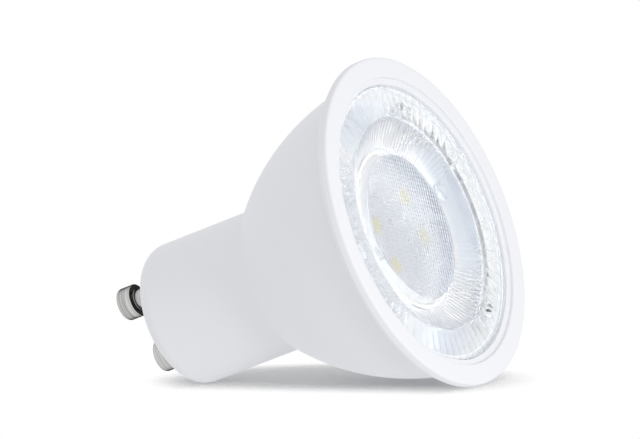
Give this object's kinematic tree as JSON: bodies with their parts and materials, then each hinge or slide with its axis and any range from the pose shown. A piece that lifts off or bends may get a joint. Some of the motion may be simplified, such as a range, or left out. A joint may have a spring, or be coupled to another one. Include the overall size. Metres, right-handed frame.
{
  "type": "gu10 spotlight bulb",
  "caption": "Reflector-shaped LED spot lamp: white moulded cup and barrel, clear faceted collimator lens set in the rim, and a twist-lock base with headed contact pins.",
  "frame": {"origin": "centre of the rim's front face, on which the lamp stands", "axes": "+Z along the lamp's axis from the front rim to the contact pins, as the lamp hangs in a ceiling fitting; X through both pins"},
  "size_m": [0.05, 0.05, 0.0512],
  "materials": {
    "white_housing": "satin moulded plastic",
    "heat_sink_aluminium": "drawn, bare",
    "clear_lens": "clear moulded polycarbonate",
    "white_board": "white solder mask",
    "led_white": "moulded package",
    "led_yellow": "phosphor",
    "screw_steel": "plated",
    "pin_nickel": "turned, nickel plated",
    "brown_wire": "insulation",
    "blue_wire": "insulation",
    "red_wire": "insulation",
    "black_wire": "insulation",
    "green_board": "circuit board",
    "capacitor_sleeve": "shrink sleeve",
    "ferrite": "sintered",
    "copper": "enamelled copper wire",
    "resistor_coat": "lacquer",
    "chip_black": "moulded",
    "chip_tan": "sintered"
  },
  "bodies": {
    "root": {"housing": "white_housing", "heat_sink": "heat_sink_aluminium", "lens": "clear_lens", "led_board": "white_board", "board_screws": "screw_steel", "contact_pin_live": "pin_nickel", "contact_pin_neutral": "pin_nickel", "live_wire": "brown_wire", "neutral_wire": "blue_wire", "led_wire_positive": "red_wire", "led_wire_negative": "black_wire", "driver_board": "green_board", "input_capacitor": "capacitor_sleeve", "output_capacitor": "capacitor_sleeve", "choke_core": "ferrite", "choke_winding": "copper", "fusible_resistor": "resistor_coat", "bridge_rectifier": "chip_black", "driver_chip": "chip_black", "output_diode": "chip_black", "chip_resistors": "chip_black", "chip_capacitors": "chip_tan", "led_body_1": "led_white", "led_phosphor_1": "led_yellow", "led_body_2": "led_white", "led_phosphor_2": "led_yellow", "led_body_3": "led_white", "led_phosphor_3": "led_yellow", "led_body_4": "led_white", "led_phosphor_4": "led_yellow"}
  },
  "joints": []
}
